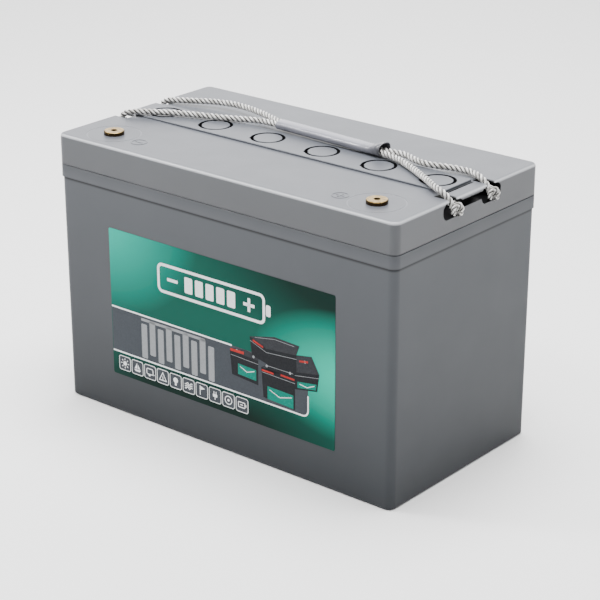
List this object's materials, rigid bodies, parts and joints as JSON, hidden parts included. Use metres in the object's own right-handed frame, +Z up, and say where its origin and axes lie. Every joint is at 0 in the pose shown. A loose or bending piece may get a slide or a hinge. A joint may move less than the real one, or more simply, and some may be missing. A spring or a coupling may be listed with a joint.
{
  "type": "deep cycle battery",
  "caption": "Sealed lead battery with a grey moulded case and cover, threaded brass terminals, flush vent discs and a twin rope carrying handle.",
  "frame": {"origin": "middle of the underside, where the battery stands", "axes": "+Z up, +X along the long side towards the positive terminal, the label and the terminals are on the -Y side"},
  "size_m": [0.3388, 0.176, 0.2346],
  "materials": {
    "container_plastic": "fine satin texture, moulded ABS",
    "cover_plastic": "satin moulded ABS",
    "sealing_resin": "cast epoxy",
    "valve_rubber": "soft rubber",
    "seal_rubber": "smooth rubber",
    "positive_plate": "pasted lead dioxide plates on cast lead",
    "negative_plate": "pasted sponge lead plates on cast lead",
    "lead": "cast lead",
    "glass_mat": "glass fibre mat",
    "terminal_brass": "turned brass",
    "label_film": "printed film, satin varnish",
    "grip_plastic": "smooth soft vinyl sleeve",
    "rope": "laid synthetic cord"
  },
  "bodies": {
    "battery": {"container": "container_plastic", "cover": "cover_plastic", "lid_seal": "sealing_resin", "vent_cover_1": "cover_plastic", "valve_1": "valve_rubber", "cell_1_positive_group": "positive_plate", "cell_1_negative_group": "negative_plate", "cell_1_separators": "glass_mat", "vent_cover_2": "cover_plastic", "valve_2": "valve_rubber", "cell_2_positive_group": "positive_plate", "cell_2_negative_group": "negative_plate", "cell_2_separators": "glass_mat", "vent_cover_3": "cover_plastic", "valve_3": "valve_rubber", "cell_3_positive_group": "positive_plate", "cell_3_negative_group": "negative_plate", "cell_3_separators": "glass_mat", "vent_cover_4": "cover_plastic", "valve_4": "valve_rubber", "cell_4_positive_group": "positive_plate", "cell_4_negative_group": "negative_plate", "cell_4_separators": "glass_mat", "vent_cover_5": "cover_plastic", "valve_5": "valve_rubber", "cell_5_positive_group": "positive_plate", "cell_5_negative_group": "negative_plate", "cell_5_separators": "glass_mat", "vent_cover_6": "cover_plastic", "valve_6": "valve_rubber", "cell_6_positive_group": "positive_plate", "cell_6_negative_group": "negative_plate", "cell_6_separators": "glass_mat", "intercell_connector_1": "lead", "intercell_connector_2": "lead", "intercell_connector_3": "lead", "intercell_connector_4": "lead", "intercell_connector_5": "lead", "negative_terminal": "terminal_brass", "negative_post": "lead", "negative_o_ring": "seal_rubber", "negative_terminal_resin": "sealing_resin", "positive_terminal": "terminal_brass", "positive_post": "lead", "positive_o_ring": "seal_rubber", "positive_terminal_resin": "sealing_resin", "front_label": "label_film", "rope_front_left": "rope", "rope_front_right": "rope", "knot_front_left": "rope", "knot_front_right": "rope", "rope_rear_left": "rope", "rope_rear_right": "rope", "knot_rear_left": "rope", "knot_rear_right": "rope"},
    "handle": {"handle_grip": "grip_plastic", "rope_front_core": "rope", "rope_rear_core": "rope"}
  },
  "joints": [
    {"name": "handle_lift", "type": "slide", "parent": "battery", "child": "handle", "axis": [0, -0.4472, 0.8944], "range_m": [0, 0.046], "deforming": ["rope_front_left", "rope_front_right", "rope_rear_left", "rope_rear_right"]}
  ]
}
